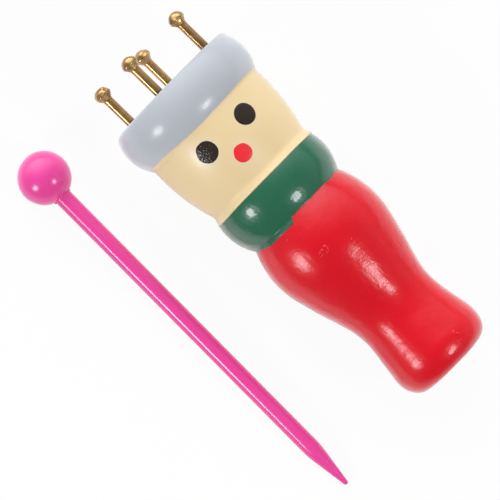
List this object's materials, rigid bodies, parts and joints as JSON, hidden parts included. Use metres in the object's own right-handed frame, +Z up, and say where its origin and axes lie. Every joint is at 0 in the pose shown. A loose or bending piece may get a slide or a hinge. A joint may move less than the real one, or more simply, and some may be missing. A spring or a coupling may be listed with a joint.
{
  "type": "knitting nancy",
  "caption": "Turned and painted wooden knitting doll with brass round-head pegs around a through bore, lying beside its ball-ended needle.",
  "frame": {"origin": "on the table, at the middle of the space that the doll and its needle cover", "axes": "+Y along the doll from its base to its hat, +Z up off the table, +X to the right as seen from above with the hat at the top; the doll's axis rises from the table's plane by its lying tilt"},
  "size_m": [0.0664, 0.1166, 0.0407],
  "materials": {
    "bare_wood": "bare turned beech",
    "hat_grey": "gloss enamel",
    "face_cream": "satin enamel",
    "scarf_green": "gloss enamel",
    "robe_red": "gloss enamel",
    "eye_black": "satin enamel",
    "nose_red": "satin enamel",
    "brass": "bright drawn brass",
    "needle_pink": "gloss paint on wood"
  },
  "bodies": {
    "doll": {"turned_body": "bare_wood", "hat_paint": "hat_grey", "face_paint": "face_cream", "scarf_paint": "scarf_green", "robe_paint": "robe_red", "left_eye": "eye_black", "right_eye": "eye_black", "nose": "nose_red", "front_peg": "brass", "right_peg": "brass", "rear_peg": "brass", "left_peg": "brass"},
    "needle": {"needle_shaft": "needle_pink", "needle_ball": "needle_pink"}
  },
  "joints": [
    {"name": "needle_lift", "type": "slide", "parent": "doll", "child": "needle", "axis": [0, 0, 1], "range_m": [0, 0.06]}
  ]
}
